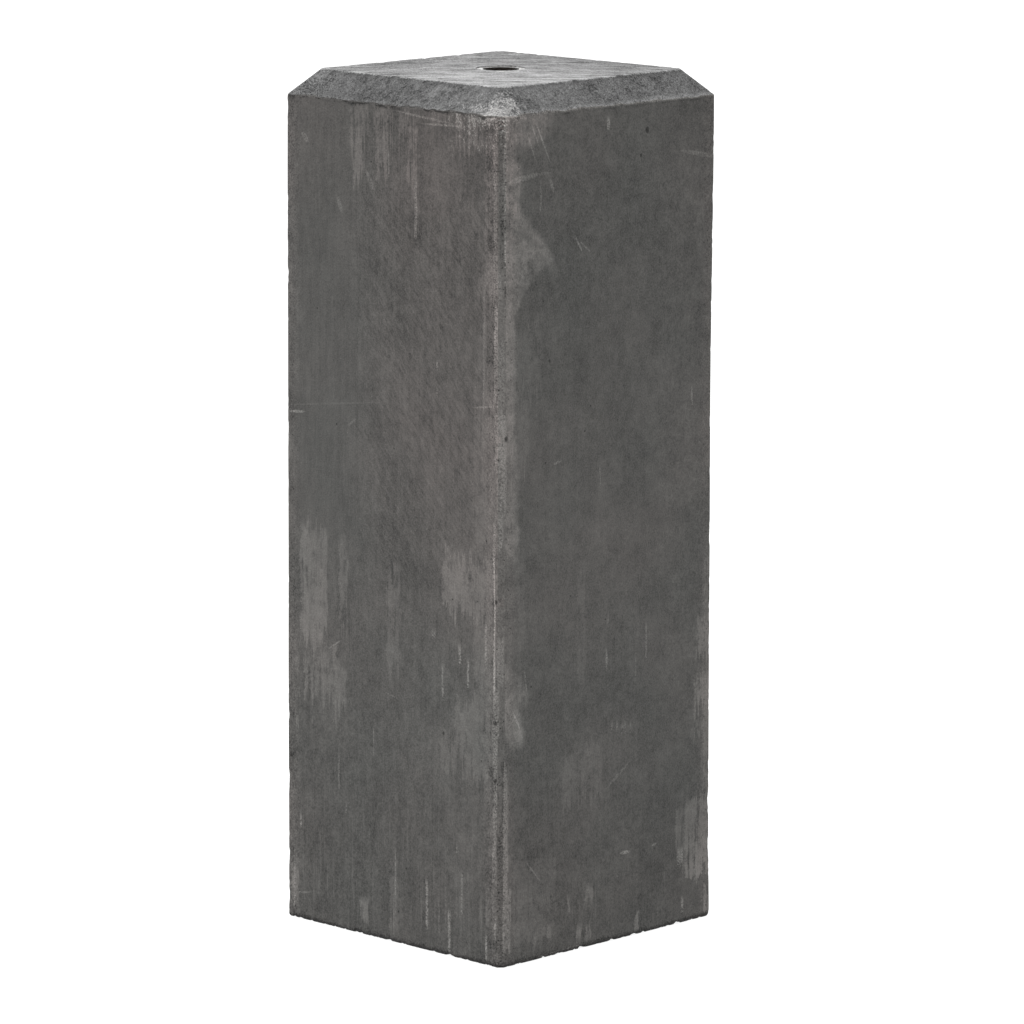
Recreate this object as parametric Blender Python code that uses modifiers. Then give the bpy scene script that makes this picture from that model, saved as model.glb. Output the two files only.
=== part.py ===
"""Column base block: a square cast concrete footing with a chamfered head and a threaded steel sleeve cast into it.

The block stands on its foot at Z = 0, centred on the Z axis, with its faces square to X and Y. All sizes are metres.
"""

import math

import bmesh
import bpy

# Concrete block
SHOULDER_WIDTH = 0.1768  # across the faces just under the chamfer, in X and in Y
BLOCK_HEIGHT = 0.500  # foot to head
DRAFT = 0.0009  # each face leans out by this much from shoulder to foot, so that the casting leaves its mould
CHAMFER_RUN = 0.0139  # head chamfer, measured in from the face
CHAMFER_DROP = 0.0146  # head chamfer, measured down from the head
CORNER_ARRIS = 0.0033  # flat on each upright corner, each leg
FOOT_ARRIS = 0.0012  # worn lower edge, each leg

# Threaded sleeve, for an M20 stud
SLEEVE_DIAMETER = 0.029
SLEEVE_LENGTH = 0.080
SLEEVE_RECESS = 0.0005  # the rim lies this far under the head
SLEEVE_FLOOR = 0.004  # thickness of the closed lower end
SLEEVE_EDGE = 0.0004  # eased outer edges of the sleeve
THREAD_DIAMETER = 0.020
THREAD_PITCH = 0.0025
MOUTH_DIAMETER = 0.0215  # countersink at the rim

SEAT_GAP = 0.0003  # between the concrete and the sleeve, all round and underneath
CUTTER_OVERRUN = 0.010  # how far a cutter stands out of what it cuts
ROUND_STEPS = 48
MERGE_DISTANCE = 0.00001
SMOOTH_ANGLE = math.radians(30)

# An internal metric thread is 1.0825 pitches narrower across its crests than its name says.
CREST_SHARE = 1.0825
BORE_DIAMETER = THREAD_DIAMETER - CREST_SHARE * THREAD_PITCH

SLEEVE_TOP_Z = BLOCK_HEIGHT - SLEEVE_RECESS
SLEEVE_BOTTOM_Z = SLEEVE_TOP_Z - SLEEVE_LENGTH


def clear_scene():
    for old in list(bpy.data.objects):
        bpy.data.objects.remove(old)


def new_collection(name):
    collection = bpy.data.collections.new(name)
    bpy.context.scene.collection.children.link(collection)
    return collection


def new_material(name, colour, roughness, metallic=0.0):
    material = bpy.data.materials.new(name)
    material.use_nodes = True
    shader = material.node_tree.nodes["Principled BSDF"]
    shader.inputs["Base Color"].default_value = (*colour, 1.0)
    shader.inputs["Roughness"].default_value = roughness
    shader.inputs["Metallic"].default_value = metallic
    return material


def add_object(name, bm, collection, material=None):
    """Turns a finished bmesh into a named object in its collection."""
    mesh = bpy.data.meshes.new(name)
    bm.to_mesh(mesh)
    bm.free()
    if material:
        mesh.materials.append(material)
    added = bpy.data.objects.new(name, mesh)
    collection.objects.link(added)
    return added


def apply_modifiers(piece):
    """Makes a piece's modifiers part of its mesh, and shades its round faces smooth."""
    evaluated = piece.evaluated_get(bpy.context.evaluated_depsgraph_get())
    finished = bpy.data.meshes.new_from_object(evaluated)
    piece.modifiers.clear()
    rough = piece.data
    piece.data = finished
    bpy.data.meshes.remove(rough)
    finished.name = piece.name
    finished.shade_smooth()
    finished.set_sharp_from_angle(angle=SMOOTH_ANGLE)


def climbs(edge):
    """True for an upright corner of the shaft, and for a hip between two chamfers."""
    low, high = sorted(vertex.co.z for vertex in edge.verts)
    return high - low > MERGE_DISTANCE


def lies_at_foot(edge):
    return all(abs(vertex.co.z) < MERGE_DISTANCE for vertex in edge.verts)


def cut_corners(bm, chosen, leg):
    """Cuts a flat along the chosen edges, a leg wide on each of the two faces that meet there."""
    bmesh.ops.bevel(
        bm,
        geom=[edge for edge in bm.edges if chosen(edge)],
        offset=leg,
        offset_type="OFFSET",
        segments=1,
        profile=0.5,
        affect="EDGES",
        clamp_overlap=True,
        material=-1,
    )


def block_body():
    """The cast body: a shaft with a little draft, whose top face is raised and drawn in to make the head chamfer."""
    shaft_height = BLOCK_HEIGHT - CHAMFER_DROP
    foot_share = (SHOULDER_WIDTH + 2 * DRAFT) / SHOULDER_WIDTH
    head_share = (SHOULDER_WIDTH - 2 * CHAMFER_RUN) / SHOULDER_WIDTH
    bm = bmesh.new()
    bmesh.ops.create_cube(bm, size=1.0)
    bmesh.ops.translate(bm, verts=bm.verts, vec=(0.0, 0.0, 0.5))
    bmesh.ops.scale(bm, verts=bm.verts, vec=(SHOULDER_WIDTH, SHOULDER_WIDTH, shaft_height))
    top = max(bm.faces, key=lambda face: face.calc_center_median().z)
    raised = bmesh.ops.extrude_face_region(bm, geom=[top])
    bmesh.ops.delete(bm, geom=[top], context="FACES")
    rim = [item for item in raised["geom"] if isinstance(item, bmesh.types.BMVert)]
    foot = [vertex for vertex in bm.verts if vertex.co.z < MERGE_DISTANCE]
    bmesh.ops.scale(bm, verts=rim, vec=(head_share, head_share, 1.0))
    bmesh.ops.translate(bm, verts=rim, vec=(0.0, 0.0, CHAMFER_DROP))
    bmesh.ops.scale(bm, verts=foot, vec=(foot_share, foot_share, 1.0))
    cut_corners(bm, climbs, CORNER_ARRIS)
    cut_corners(bm, lies_at_foot, FOOT_ARRIS)
    bmesh.ops.recalc_face_normals(bm, faces=bm.faces)
    return bm


def seat_cutter(collection):
    """The round pocket that holds the sleeve, wider and deeper than the sleeve by the seat gap."""
    radius = SLEEVE_DIAMETER / 2 + SEAT_GAP
    bottom = SLEEVE_BOTTOM_Z - SEAT_GAP
    top = BLOCK_HEIGHT + CUTTER_OVERRUN
    bm = bmesh.new()
    bmesh.ops.create_cone(
        bm, cap_ends=True, segments=ROUND_STEPS, radius1=radius, radius2=radius, depth=top - bottom
    )
    bmesh.ops.translate(bm, verts=bm.verts, vec=(0.0, 0.0, (top + bottom) / 2))
    cutter = add_object("sleeve_seat_cutter", bm, collection)
    cutter.hide_render = True
    cutter.display_type = "WIRE"
    return cutter


def make_block(collection, cutters, material):
    block = add_object("concrete_block", block_body(), collection, material)
    seat = block.modifiers.new("sleeve seat", "BOOLEAN")
    seat.operation = "DIFFERENCE"
    seat.solver = "EXACT"
    seat.object = seat_cutter(cutters)
    apply_modifiers(block)


def sleeve_profile():
    """Half of the sleeve's section: up the bore from its floor, over the rim, and down the outside."""
    outer = SLEEVE_DIAMETER / 2
    bore = BORE_DIAMETER / 2
    mouth = MOUTH_DIAMETER / 2
    floor_z = SLEEVE_BOTTOM_Z + SLEEVE_FLOOR
    mouth_depth = mouth - bore  # the countersink slopes at 45 degrees
    return [
        (0.0, floor_z),
        (bore, floor_z),
        (bore, SLEEVE_TOP_Z - mouth_depth),
        (mouth, SLEEVE_TOP_Z),
        (outer - SLEEVE_EDGE, SLEEVE_TOP_Z),
        (outer, SLEEVE_TOP_Z - SLEEVE_EDGE),
        (outer, SLEEVE_BOTTOM_Z + SLEEVE_EDGE),
        (outer - SLEEVE_EDGE, SLEEVE_BOTTOM_Z),
        (0.0, SLEEVE_BOTTOM_Z),
    ]


def make_sleeve(collection, material):
    """A tube with a closed lower end, turned about the Z axis and bored to the crests of its thread."""
    bm = bmesh.new()
    points = [bm.verts.new((radius, 0.0, z)) for radius, z in sleeve_profile()]
    for start, end in zip(points, points[1:]):
        bm.edges.new((start, end))
    sleeve = add_object("threaded_sleeve", bm, collection, material)
    turn = sleeve.modifiers.new("turn", "SCREW")
    turn.axis = "Z"
    turn.angle = math.tau
    turn.steps = ROUND_STEPS
    turn.render_steps = ROUND_STEPS
    turn.use_merge_vertices = True
    turn.merge_threshold = MERGE_DISTANCE
    apply_modifiers(sleeve)


def main():
    clear_scene()
    parts = new_collection("Column base block")
    cutters = new_collection("Cutters")
    concrete = new_material("Dark concrete", (0.100, 0.097, 0.093), 0.85)
    steel = new_material("Zinc plated steel", (0.55, 0.56, 0.57), 0.45, metallic=1.0)
    make_block(parts, cutters, concrete)
    make_sleeve(parts, steel)


main()
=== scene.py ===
import math
import random

import bmesh
import bpy
from mathutils import Matrix, Vector, kdtree, noise


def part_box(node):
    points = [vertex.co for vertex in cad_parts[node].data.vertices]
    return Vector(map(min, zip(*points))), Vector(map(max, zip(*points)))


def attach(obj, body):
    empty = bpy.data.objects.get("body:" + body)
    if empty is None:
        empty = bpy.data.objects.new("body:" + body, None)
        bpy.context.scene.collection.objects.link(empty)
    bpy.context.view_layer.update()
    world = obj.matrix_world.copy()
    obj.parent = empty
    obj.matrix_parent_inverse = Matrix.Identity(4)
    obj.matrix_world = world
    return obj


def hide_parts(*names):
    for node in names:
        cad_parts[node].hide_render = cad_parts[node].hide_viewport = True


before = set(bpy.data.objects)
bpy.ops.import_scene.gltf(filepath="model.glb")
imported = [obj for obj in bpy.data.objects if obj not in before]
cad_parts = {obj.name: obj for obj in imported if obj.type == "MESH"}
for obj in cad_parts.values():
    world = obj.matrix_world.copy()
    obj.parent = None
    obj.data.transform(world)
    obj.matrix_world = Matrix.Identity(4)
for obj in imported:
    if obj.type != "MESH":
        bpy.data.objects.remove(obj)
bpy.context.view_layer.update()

# Sizes of the block, in metres, as its solids have them
FOOT_LOW, FOOT_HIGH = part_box("concrete_block")
HEIGHT = FOOT_HIGH.z
SHOULDER_WIDTH = 0.1768
DRAFT = 0.0009
CHAMFER_RUN = 0.0139
CHAMFER_DROP = 0.0146
CORNER_ARRIS = 0.0033
FOOT_ARRIS = 0.0012
SHOULDER_Z = HEIGHT - CHAMFER_DROP
HALF_SHOULDER = SHOULDER_WIDTH / 2
HALF_HEAD = HALF_SHOULDER - CHAMFER_RUN

# Sizes of the sleeve
SLEEVE_LOW, SLEEVE_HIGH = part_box("threaded_sleeve")
SLEEVE_RADIUS = SLEEVE_HIGH.x
SLEEVE_TOP = SLEEVE_HIGH.z
SLEEVE_BOTTOM = SLEEVE_LOW.z
SLEEVE_FLOOR = 0.004
SLEEVE_EDGE = 0.0004
MOUTH_RADIUS = 0.01075
THREAD_RADIUS = 0.010
THREAD_PITCH = 0.0025
THREAD_DEPTH = 0.00135

MILLIMETRE = 0.001


# Modelling helpers


def add_piece(name, bm, materials, sharp_degrees):
    """Turns a finished bmesh into a smooth shaded object at the origin, with a slot for each of its materials."""
    mesh = bpy.data.meshes.new(name)
    bm.to_mesh(mesh)
    bm.free()
    mesh.shade_smooth()
    mesh.set_sharp_from_angle(angle=math.radians(sharp_degrees))
    for material in materials:
        mesh.materials.append(material)
    piece = bpy.data.objects.new(name, mesh)
    bpy.context.scene.collection.objects.link(piece)
    return piece


def ease(value, low, high):
    """A smooth step from 0 at low to 1 at high."""
    share = min(1.0, max(0.0, (value - low) / (high - low)))
    return share * share * (3 - 2 * share)


def vertices_of(result, key="geom"):
    return [item for item in result[key] if isinstance(item, bmesh.types.BMVert)]


def edges_of(result, key="geom"):
    return [item for item in result[key] if isinstance(item, bmesh.types.BMEdge)]


def bevel_edges(bm, edges, offset, segments):
    bmesh.ops.bevel(
        bm, geom=edges, offset=offset, offset_type="OFFSET", segments=segments, profile=0.5,
        affect="EDGES", clamp_overlap=True, material=-1,
    )


# The concrete block

EDGE_EASE = 0.0006  # rounding of every edge that the mould left
GRID = 0.0028  # spacing of the mesh over the faces
HEAD_RINGS = 24
FACE_WAVE = 0.00022  # unevenness of the cast faces
CORNER_BOW = 0.0009  # how far the far right corner is drawn in at mid height
NIBBLE_DEPTH = 0.0007  # wear along the corner flats
EDGE_CRUMBLE = 0.0016  # wear along the edges of the chamfer
FOOT_RAGGED = 0.0027  # raggedness of the lower edge


def half_width(z):
    """Half the block's width at a height, from the draft of its faces."""
    return HALF_SHOULDER + DRAFT * max(0.0, 1 - z / SHOULDER_Z)


def cast_outline():
    """The block with flat faces: a drafted shaft, the head chamfer, the corner flats and the foot's worn edge."""
    bm = bmesh.new()
    bmesh.ops.create_cube(bm, size=1.0)
    bmesh.ops.translate(bm, verts=bm.verts, vec=(0.0, 0.0, 0.5))
    bmesh.ops.scale(bm, verts=bm.verts, vec=(SHOULDER_WIDTH, SHOULDER_WIDTH, SHOULDER_Z))
    top = max(bm.faces, key=lambda face: face.calc_center_median().z)
    rim = vertices_of(bmesh.ops.extrude_face_region(bm, geom=[top]))
    bmesh.ops.delete(bm, geom=[top], context="FACES")
    foot = [vertex for vertex in bm.verts if vertex.co.z < MILLIMETRE]
    head_share = HALF_HEAD / HALF_SHOULDER
    foot_share = half_width(0.0) / HALF_SHOULDER
    bmesh.ops.scale(bm, verts=rim, vec=(head_share, head_share, 1.0))
    bmesh.ops.translate(bm, verts=rim, vec=(0.0, 0.0, CHAMFER_DROP))
    bmesh.ops.scale(bm, verts=foot, vec=(foot_share, foot_share, 1.0))
    climbing = [e for e in bm.edges if rise_of(e) > MILLIMETRE]
    bevel_edges(bm, climbing, CORNER_ARRIS, 1)
    lowest = [e for e in bm.edges if max(v.co.z for v in e.verts) < 0.1 * MILLIMETRE]
    bevel_edges(bm, lowest, FOOT_ARRIS, 1)
    bmesh.ops.recalc_face_normals(bm, faces=bm.faces)
    sharp = [e for e in bm.edges if e.calc_face_angle() > math.radians(20)]
    bevel_edges(bm, sharp, EDGE_EASE, 2)
    return bm


def rise_of(edge):
    return abs(edge.verts[0].co.z - edge.verts[1].co.z)


def cut_places():
    """Places across a face at which it is cut, closer together near the corners."""
    outer = HALF_SHOULDER - CORNER_ARRIS
    side = [outer - 0.0009, outer - 0.0022, outer - 0.004]
    inner = side[-1]
    count = round(2 * inner / GRID)
    middle = [-inner + 2 * inner * step / count for step in range(1, count)]
    return [-place for place in side] + middle + side


def cut_across(bm, direction, places):
    for place in places:
        bmesh.ops.bisect_plane(
            bm, geom=bm.verts[:] + bm.edges[:] + bm.faces[:], dist=1e-7,
            plane_co=Vector(direction) * place, plane_no=direction,
        )


def divide_faces(bm):
    """Cuts the open shell into a grid: across its faces, in fine rows at foot and shoulder, and evenly between."""
    cut_across(bm, (1, 0, 0), cut_places())
    cut_across(bm, (0, 1, 0), cut_places())
    foot_rows = [0.0006, 0.0012, 0.002, 0.003, 0.0042, 0.0058, 0.0078]
    cut_across(bm, (0, 0, 1), foot_rows + [SHOULDER_Z - 0.003, SHOULDER_Z - 0.0014])
    shaft = [e for e in bm.edges if rise_of(e) > HEIGHT / 2]
    bmesh.ops.subdivide_edges(bm, edges=shaft, cuts=round(SHOULDER_Z / GRID), use_grid_fill=True)
    slope = [e for e in bm.edges if rise_of(e) > CHAMFER_DROP / 2]
    bmesh.ops.subdivide_edges(bm, edges=slope, cuts=9, use_grid_fill=True)


def boundary_edges(bm, z):
    return [e for e in bm.edges if e.is_boundary and abs(e.verts[0].co.z - z) < MILLIMETRE / 10]


def close_head(bm):
    """Closes the head in rings that go from its square rim to the round hole, and goes down the hole to its floor."""
    for step in range(HEAD_RINGS):
        drawn = bmesh.ops.extrude_edge_only(bm, edges=boundary_edges(bm, HEIGHT))
        share = (HEAD_RINGS - step - 1) / (HEAD_RINGS - step)
        for vertex in vertices_of(drawn):
            reach = vertex.co.xy.length
            inner = SLEEVE_RADIUS + (reach - SLEEVE_RADIUS) * share
            vertex.co = (vertex.co.x * inner / reach, vertex.co.y * inner / reach, HEIGHT)
    for drop in (0.0012, SLEEVE_TOP - SLEEVE_BOTTOM):
        open_edge = [e for e in bm.edges if e.is_boundary and e.verts[0].co.z > SHOULDER_Z]
        lowered = bmesh.ops.extrude_edge_only(bm, edges=open_edge)
        bmesh.ops.translate(bm, verts=vertices_of(lowered), vec=(0.0, 0.0, -drop))
    floor = [e for e in bm.edges if e.is_boundary and 0.1 < e.verts[0].co.z < SHOULDER_Z]
    bmesh.ops.contextual_create(bm, geom=floor)


def close_foot(bm):
    """Closes the underside with a border that takes the ragged edge, and one flat face inside it."""
    made = bmesh.ops.contextual_create(bm, geom=boundary_edges(bm, 0.0))
    bmesh.ops.inset_region(bm, faces=made["faces"], thickness=0.004)


def refine_edges(bm):
    """Divides the mesh along the foot and the corner flats, where the wear is finest."""
    def along_foot(edge):
        a, b = (v.co for v in edge.verts)
        return max(a.z, b.z) < 0.0045 and rise_of(edge) < 0.0002 and max(abs(a.x), abs(a.y)) > 0.084

    def along_corner(edge):
        a, b = (v.co for v in edge.verts)
        return (
            min(abs(a.x), abs(a.y), abs(b.x), abs(b.y)) > HALF_SHOULDER - CORNER_ARRIS - 0.001
            and rise_of(edge) > 0.001
            and max(a.z, b.z) < SHOULDER_Z + 0.001
        )

    bmesh.ops.subdivide_edges(bm, edges=[e for e in bm.edges if along_foot(e)], cuts=2)
    bmesh.ops.subdivide_edges(bm, edges=[e for e in bm.edges if along_corner(e)], cuts=2)


def face_point(face, across, height):
    """A point on a side face, from millimetres along it (seen from outside, left to right) and above the foot."""
    z = height * MILLIMETRE
    along = across * MILLIMETRE
    out = half_width(z)
    return {
        "front": Vector((along, -out, z)),
        "right": Vector((out, along, z)),
        "back": Vector((-along, out, z)),
        "left": Vector((-out, -along, z)),
    }[face]


# Blowholes big enough to see as holes: face, millimetres across and up it, radius and depth in millimetres
BLOWHOLES = [
    ("right", 29.1, 469.1, 1.4, 1.0),
    ("right", 24.0, 455.0, 0.8, 0.6),
    ("right", -50.0, 345.0, 0.7, 0.6),
    ("front", 43.0, 130.0, 0.8, 0.7),
    ("front", 84.6, 211.5, 0.9, 0.8),
    ("front", 84.5, 142.0, 0.9, 0.8),
    ("front", 84.6, 108.5, 1.1, 0.9),
    ("right", -84.5, 304.5, 1.1, 0.9),
]
STRAY_BLOWHOLES = 56

# Bites out of the edges, in millimetres: where the biting ball's middle is, and its radius
BITES = [
    ((89.7, -22.7, -0.7), 2.9),
    ((89.9, 26.5, -0.4), 2.2),
    ((89.6, 21.0, -1.2), 2.6),
    ((91.5, 91.5, -2.0), 7.5),
    ((89.8, 52.0, -1.0), 2.6),
    ((58.0, -89.9, -0.9), 2.4),
    ((-90.4, -90.4, -1.2), 3.6),
    ((89.6, -90.6, -1.0), 3.0),
    ((30.0, -90.1, -0.9), 2.0),
    ((-46.0, -90.2, -0.9), 2.2),
    ((-90.4, 91.0, 250.0), 4.6),
    ((91.0, 91.0, 483.0), 4.4),
    ((-91.6, 40.0, 0.0), 3.6),
    ((-30.0, 91.2, -0.4), 3.2),
    ((-89.6, -89.6, 462.0), 2.2),
    ((-89.8, -89.8, 431.0), 2.6),
    ((11.2, -11.2, 515.4), 16.0),
]
STRAY_BITES = 40


def blowholes():
    """All the block's blowholes as centre, radius and depth: those named above and strays over every side."""
    holes = [(face_point(f, a, h), r * MILLIMETRE, d * MILLIMETRE) for f, a, h, r, d in BLOWHOLES]
    pick = random.Random(7)
    for _ in range(STRAY_BLOWHOLES):
        face = pick.choice(["front", "right", "back", "left"])
        edge_bound = pick.random() < 0.4
        across = pick.choice([-1, 1]) * pick.uniform(78, 84) if edge_bound else pick.uniform(-76, 76)
        radius = pick.uniform(0.35, 0.75)
        centre = face_point(face, across, pick.uniform(12, 478))
        holes.append((centre, radius * MILLIMETRE, 0.8 * radius * MILLIMETRE))
    return holes


def bites():
    """The bites named above, and stray small ones along the corners, the foot and the head."""
    taken = [(Vector(middle) * MILLIMETRE, radius * MILLIMETRE) for middle, radius in BITES]
    pick = random.Random(11)
    for _ in range(STRAY_BITES):
        radius = pick.uniform(0.9, 1.9)
        along = pick.uniform(-78, 78)
        side = pick.choice([-1, 1])
        where = pick.choice(["corner", "corner", "foot", "head"])
        if where == "corner":
            away = 86.6 + 0.62 * radius
            middle = (side * away, pick.choice([-1, 1]) * away, pick.uniform(10, 480))
        else:
            away, height = (88.9 + 0.6 * radius, -0.4) if where == "foot" else (74.4 + 0.5 * radius, 500 + 0.6 * radius)
            middle = pick.choice([(side * away, along, height), (along, side * away, height)])
        taken.append((Vector(middle) * MILLIMETRE, radius * MILLIMETRE))
    return taken


def tree_of(points):
    tree = kdtree.KDTree(len(points))
    for index, point in enumerate(points):
        tree.insert(point, index)
    tree.balance()
    return tree


def refine_blowholes(bm, tree, holes):
    def near(face):
        _, index, distance = tree.find(face.calc_center_median())
        return distance < holes[index][1] + 0.0021

    edges = {edge for face in bm.faces if near(face) for edge in face.edges}
    bmesh.ops.subdivide_edges(bm, edges=list(edges), cuts=3, use_grid_fill=True)


def worn_depth(p):
    """How far the surface lies inside the flat casting at a point: unevenness, nibbled corners, crumbled edges."""
    from_x = half_width(p.z) - abs(p.x)
    from_y = half_width(p.z) - abs(p.y)
    corner = from_x + from_y
    depth = FACE_WAVE * (1 + noise.noise(p * 11)) * 0.5
    depth += 0.00005 * (1 + noise.noise(p * 90)) * 0.5
    if corner < 0.007 and p.z < SHOULDER_Z:
        nibble = noise.noise(p * 75) + 0.6 * noise.noise(p * 300)
        depth += NIBBLE_DEPTH * max(0.0, nibble - 0.1) * ease(corner, 0.007, 0.0033)
    shoulder = abs(p.z - SHOULDER_Z)
    if shoulder < 0.003 and min(from_x, from_y) < 0.004:
        depth += EDGE_CRUMBLE * max(0.0, noise.noise(p * 330) - 0.1) * (1 - ease(shoulder, 0.0, 0.003))
    if p.z > SHOULDER_Z:
        depth += 0.00009 * (1 + noise.noise(p * 120) + 0.6 * noise.noise(p * 420)) * 0.5
        head_edge = abs(HALF_HEAD - max(abs(p.x), abs(p.y)))
        if p.z > HEIGHT - 0.003 and head_edge < 0.003:
            depth += 0.7 * EDGE_CRUMBLE * max(0.0, noise.noise(p * 420) - 0.05) * (1 - ease(head_edge, 0.0, 0.003))
    return depth * ease(p.xy.length, SLEEVE_RADIUS + 0.0005, SLEEVE_RADIUS + 0.008)


def wear(bm, tree, holes):
    """Moves the mesh inwards by the unevenness, wear, ragged edges, blowholes and bites of the real casting."""
    bm.normal_update()
    bitten = bites()
    bite_tree = tree_of([middle for middle, _ in bitten])
    widest = max(radius for _, radius in bitten)
    moves = []
    for vertex in bm.verts:
        p = vertex.co
        depth = worn_depth(p)
        _, index, distance = tree.find(p)
        _, radius, hollow = holes[index]
        if distance < radius:
            depth += hollow * (1 - (distance / radius) ** 2)
        move = vertex.normal * -depth
        if p.z < SHOULDER_Z:
            toward = ease(p.x, 0.02, 0.089) * ease(p.y, 0.02, 0.089)
            bow = (1 - ease(p.z, 0.30, 0.475)) * (0.55 + 0.45 * ease(p.z, 0.0, 0.06))
            draw = CORNER_BOW * toward * bow
            move += Vector((-draw, -draw, 0.0))
        edge = half_width(p.z) - max(abs(p.x), abs(p.y))
        if p.z < 0.005 and edge < 0.004:
            ragged = 0.8 * noise.noise(p * 160) + 0.6 * noise.noise(p * 420) + 0.4 * noise.noise(p * 900)
            move.z += FOOT_RAGGED * max(0.0, ragged + 0.04) * (1 - ease(p.z, 0.0006, 0.005))
        moves.append(move)
    for vertex, move in zip(bm.verts, moves):
        vertex.co += move
        for middle, index, distance in bite_tree.find_range(vertex.co, widest):
            if distance < bitten[index][1]:
                vertex.co = middle + (vertex.co - middle) * (bitten[index][1] / distance)


def finish_of(centre):
    """Which of the block's materials a face has: 0 the front, 1 the right, 2 the far sides, 3 the head."""
    if centre.z > SHOULDER_Z - 0.0004:
        return 3
    if centre.x < centre.y:
        return 2
    return 1 if centre.x + centre.y > 0 else 0


def make_block(materials):
    bm = cast_outline()
    flat = [f for f in bm.faces if abs(f.normal.z) > 0.99]
    bmesh.ops.delete(bm, geom=flat, context="FACES_ONLY")
    divide_faces(bm)
    close_head(bm)
    close_foot(bm)
    bmesh.ops.remove_doubles(bm, verts=bm.verts, dist=1e-6)
    refine_edges(bm)
    holes = blowholes()
    tree = tree_of([centre for centre, _, _ in holes])
    refine_blowholes(bm, tree, holes)
    bmesh.ops.recalc_face_normals(bm, faces=bm.faces)
    for face in bm.faces:
        face.material_index = finish_of(face.calc_center_median())
    wear(bm, tree, holes)
    return add_piece("cast_block", bm, materials, 50)


# The threaded sleeve

THREAD_STEPS = 72
THREAD_PROFILE = ((0.0, 0.0), (0.125, 0.0), (0.28, 0.5), (0.4375, 1.0), (0.6875, 1.0), (0.845, 0.5), (1.0, 0.0))


def thread_surface(bm):
    """The inside of the thread: one pitch of its outline, turned and raised at once, then stacked turn on turn."""
    turns = math.ceil((SLEEVE_TOP - SLEEVE_BOTTOM) / THREAD_PITCH) + 2
    start = SLEEVE_BOTTOM - THREAD_PITCH
    inner = THREAD_RADIUS - THREAD_DEPTH
    points = [
        bm.verts.new((inner + THREAD_DEPTH * out, 0.0, start + THREAD_PITCH * up)) for up, out in THREAD_PROFILE
    ]
    edges = [bm.edges.new(pair) for pair in zip(points, points[1:])]
    bmesh.ops.spin(
        bm, geom=points + edges, cent=(0, 0, 0), axis=(0, 0, 1), angle=math.tau,
        steps=THREAD_STEPS, dvec=(0, 0, THREAD_PITCH / THREAD_STEPS), use_merge=False,
    )
    turn = bm.verts[:] + bm.edges[:] + bm.faces[:]
    for step in range(1, turns):
        copied = vertices_of(bmesh.ops.duplicate(bm, geom=turn))
        bmesh.ops.translate(bm, verts=copied, vec=(0, 0, THREAD_PITCH * step))
    bmesh.ops.remove_doubles(bm, verts=bm.verts, dist=1e-6)


def draw_out(bm, edges, radius, z):
    """Extrudes a ring of edges to a circle of another radius and height, and gives the new ring."""
    drawn = bmesh.ops.extrude_edge_only(bm, edges=edges)
    for vertex in vertices_of(drawn):
        x, y, _ = vertex.co
        share = radius / math.hypot(x, y)
        vertex.co = (x * share, y * share, z)
    return [e for e in edges_of(drawn) if e.is_boundary and all(abs(v.co.z - z) < 1e-6 for v in e.verts)]


def make_sleeve(material):
    """The steel sleeve: its thread, trimmed level, countersunk at the mouth, and walled round with its outside."""
    bm = bmesh.new()
    thread_surface(bm)
    floor_z = SLEEVE_BOTTOM + SLEEVE_FLOOR
    for height, up in ((SLEEVE_TOP, 1), (floor_z, -1)):
        bmesh.ops.bisect_plane(
            bm, geom=bm.verts[:] + bm.edges[:] + bm.faces[:], dist=1e-7,
            plane_co=(0, 0, height), plane_no=(0, 0, up), clear_outer=True,
        )
    for vertex in bm.verts:
        x, y, z = vertex.co
        cone = MOUTH_RADIUS - (SLEEVE_TOP - z)
        reach = math.hypot(x, y)
        if reach < cone:
            vertex.co = (x * cone / reach, y * cone / reach, z)
    bmesh.ops.remove_doubles(bm, verts=bm.verts, dist=1e-5)
    floor = [e for e in bm.edges if e.is_boundary and all(v.co.z < floor_z + 1e-5 for v in e.verts)]
    inner = draw_out(bm, floor, 0.0004, floor_z)
    bmesh.ops.contextual_create(bm, geom=inner)
    ring = [e for e in bm.edges if e.is_boundary and all(v.co.z > SLEEVE_TOP - 1e-5 for v in e.verts)]
    for radius, z in (
        (SLEEVE_RADIUS - SLEEVE_EDGE, SLEEVE_TOP),
        (SLEEVE_RADIUS, SLEEVE_TOP - SLEEVE_EDGE),
        (SLEEVE_RADIUS, SLEEVE_BOTTOM + SLEEVE_EDGE),
        (SLEEVE_RADIUS - SLEEVE_EDGE, SLEEVE_BOTTOM),
    ):
        ring = draw_out(bm, ring, radius, z)
    bmesh.ops.contextual_create(bm, geom=ring)
    bmesh.ops.recalc_face_normals(bm, faces=bm.faces)
    return add_piece("steel_sleeve", bm, [material], 35)


# Finishes


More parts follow.
